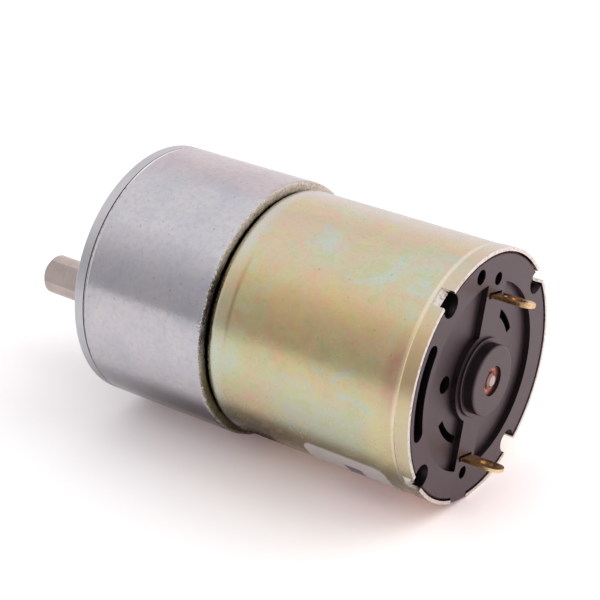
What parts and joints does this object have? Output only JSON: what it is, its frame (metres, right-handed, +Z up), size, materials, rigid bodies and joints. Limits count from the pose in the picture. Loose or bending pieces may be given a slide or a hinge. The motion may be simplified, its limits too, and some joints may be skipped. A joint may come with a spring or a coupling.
{
  "type": "geared dc motor",
  "caption": "Cylindrical brushed dc motor with a spur gearbox on its front, an offset D-shaft, a drilled mounting face and tab terminals at the rear.",
  "frame": {"origin": "centre of the gearbox's front face, on the motor's own axis", "axes": "+X the way the output shaft points, +Z up, with the output shaft straight below the motor's axis"},
  "size_m": [0.0816, 0.037, 0.037],
  "materials": {
    "zinc_casting": "satin die-cast zinc alloy",
    "plated_sleeve": "satin nickel plated steel, faintly mottled",
    "plated_plate": "zinc plated steel",
    "screw_steel": "zinc plated screw steel",
    "pin_steel": "ground steel",
    "sintered_bronze": "oil-soaked sintered bronze",
    "chromate_can": "yellow chromated zinc on drawn steel, iridescent",
    "label_paper": "pale satin sticker",
    "ferrite": "dull sintered ferrite",
    "cap_plastic": "dark moulded plastic",
    "terminal_brass": "bright brass",
    "carbon": "graphite",
    "lamination_steel": "silicon steel laminations",
    "insulator_plastic": "natural nylon",
    "copper_wire": "enamelled copper wire",
    "commutator_copper": "turned copper",
    "gear_brass": "machined brass",
    "gear_steel": "sintered steel",
    "shaft_steel": "ground steel, bright"
  },
  "bodies": {
    "housing": {"gearbox_front_plate": "zinc_casting", "gearbox_shroud": "plated_sleeve", "gearbox_rear_plate": "plated_plate", "spacer_posts": "plated_plate", "front_plate_screws": "screw_steel", "first_gear_pin": "pin_steel", "second_gear_pin": "pin_steel", "first_gear_spacer": "pin_steel", "output_front_bushing": "sintered_bronze", "output_rear_bushing": "sintered_bronze", "motor_screws": "screw_steel", "motor_can": "chromate_can", "can_label": "label_paper", "front_motor_bushing": "sintered_bronze", "magnets": "ferrite", "magnet_clips": "pin_steel", "end_cap": "cap_plastic", "rear_motor_bushing": "sintered_bronze", "terminals": "terminal_brass", "brush_holders": "terminal_brass", "brushes": "carbon", "brush_springs": "pin_steel"},
    "armature": {"armature_shaft": "pin_steel", "armature_core": "lamination_steel", "armature_insulators": "insulator_plastic", "armature_windings": "copper_wire", "commutator_hub": "cap_plastic", "commutator_segments": "commutator_copper", "motor_pinion": "gear_brass", "thrust_washers": "insulator_plastic"},
    "first_cluster": {"first_cluster_wheel": "gear_steel", "first_cluster_pinion": "gear_steel"},
    "second_cluster": {"second_cluster_wheel": "gear_steel", "second_cluster_pinion": "gear_steel"},
    "output": {"output_shaft": "shaft_steel", "output_gear": "gear_steel", "output_retaining_ring": "pin_steel", "output_washer": "pin_steel"}
  },
  "joints": [
    {"name": "armature_spin", "type": "hinge", "parent": "housing", "child": "armature", "pos_m": [0, 0, 0], "axis": [1, 0, 0], "continuous": true},
    {"name": "first_cluster_spin", "type": "hinge", "parent": "housing", "child": "first_cluster", "pos_m": [0, 0.00882, 0.00379], "axis": [1, 0, 0], "continuous": true},
    {"name": "second_cluster_spin", "type": "hinge", "parent": "housing", "child": "second_cluster", "pos_m": [0, -0.003, 0.00585], "axis": [1, 0, 0], "continuous": true},
    {"name": "output_spin", "type": "hinge", "parent": "housing", "child": "output", "pos_m": [0, 0, -0.007], "axis": [1, 0, 0], "continuous": true}
  ],
  "couplings": [
    {"joint": "first_cluster_spin", "follows": "armature_spin", "ratio": -0.33333},
    {"joint": "second_cluster_spin", "follows": "armature_spin", "ratio": 0.11111},
    {"joint": "output_spin", "follows": "armature_spin", "ratio": -0.041667}
  ]
}
